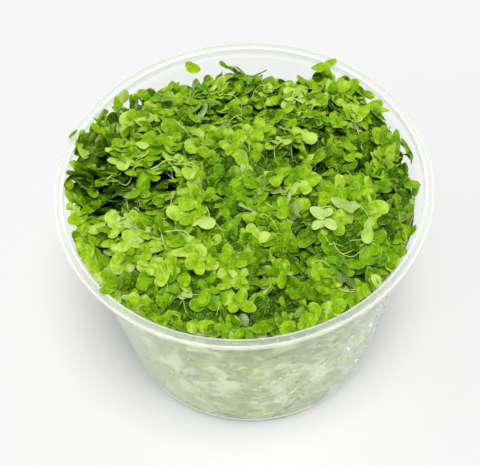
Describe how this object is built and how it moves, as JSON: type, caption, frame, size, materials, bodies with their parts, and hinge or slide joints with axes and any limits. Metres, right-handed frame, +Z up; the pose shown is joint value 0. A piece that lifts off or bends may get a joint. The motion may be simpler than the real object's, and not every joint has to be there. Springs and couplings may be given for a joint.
{
  "type": "cup of duckweed",
  "caption": "Clear round plastic cup with a flanged rim, heaped with packed floating duckweed plants; stands on a flat surface as aquarium or pond stock.",
  "frame": {"origin": "centre of the cup's underside, on the surface it stands on", "axes": "+Z up, along the cup's axis; +Y towards the back of the cup as pictured, +X to the right"},
  "size_m": [0.101, 0.101, 0.0783],
  "materials": {
    "clear_plastic": "thin injection-moulded translucent plastic, slightly milky wall, clear rim and heel, water droplets",
    "packed_duckweed": "packed moist living fronds, satin green with near-black gaps",
    "frond": "living frond, satin to moist gloss, yellow green with a paler edge"
  },
  "bodies": {
    "root": {"cup": "clear_plastic", "duckweed_mass": "packed_duckweed", "rim_plant_back_right": "frond", "rim_plant_front_left": "frond", "edge_plant_back_left": "frond", "edge_plant_back": "frond", "edge_plant_left_high": "frond", "edge_plant_left_low": "frond", "edge_plant_right_high": "frond", "edge_plant_right_low": "frond", "top_plant_01": "frond", "top_plant_02": "frond", "top_plant_03": "frond", "top_plant_04": "frond", "top_plant_05": "frond", "top_plant_06": "frond", "top_plant_07": "frond", "top_plant_08": "frond", "top_plant_09": "frond", "top_plant_10": "frond", "top_plant_11": "frond", "top_plant_12": "frond", "top_plant_13": "frond", "top_plant_14": "frond", "top_plant_15": "frond", "top_plant_16": "frond"}
  },
  "joints": []
}
